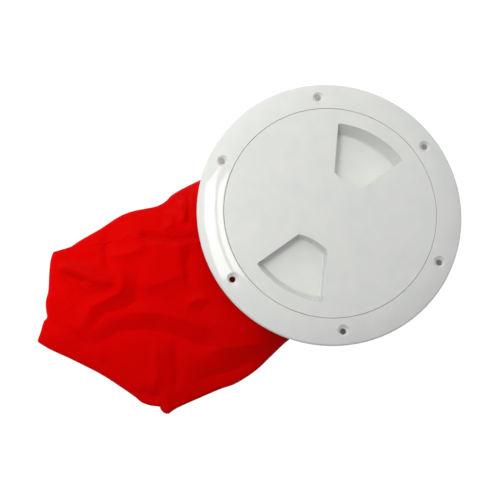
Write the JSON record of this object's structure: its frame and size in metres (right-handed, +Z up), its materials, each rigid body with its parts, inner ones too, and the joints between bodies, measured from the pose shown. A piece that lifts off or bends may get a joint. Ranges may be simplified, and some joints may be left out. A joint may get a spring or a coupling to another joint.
{
  "type": "deck inspection plate",
  "caption": "Round screw-out deck inspection plate: flanged ring with countersunk screw holes, flush lid with finger pockets, and a soft storage bag on its collar.",
  "frame": {"origin": "centre of the ring, on the underside of its flange, which is the face that lies on the deck", "axes": "+Z up out of the deck, +X through a screw hole; the bag lies toward -X"},
  "size_m": [0.3359, 0.203, 0.03],
  "materials": {
    "white_plastic": "moulded white plastic, glossy",
    "seal_rubber": "black moulded rubber",
    "bag_cloth": "bright red coated nylon cloth, slightly shiny",
    "band_elastic": "red woven elastic"
  },
  "bodies": {
    "ring": {"deck_ring": "white_plastic", "storage_bag": "bag_cloth", "bag_band": "band_elastic"},
    "seal": {"lid_seal": "seal_rubber"},
    "lid": {"screw_lid": "white_plastic"}
  },
  "joints": [
    {"name": "lid_rise", "type": "slide", "parent": "ring", "child": "seal", "axis": [0, 0, 1], "range_m": [0, 0.01801]},
    {"name": "lid_turn", "type": "hinge", "parent": "seal", "child": "lid", "pos_m": [0, 0, 0], "axis": [0, 0, 1], "range_deg": [0, 1080]}
  ],
  "couplings": [
    {"joint": "lid_rise", "follows": "lid_turn", "m_per_rad": 0.00095493}
  ]
}
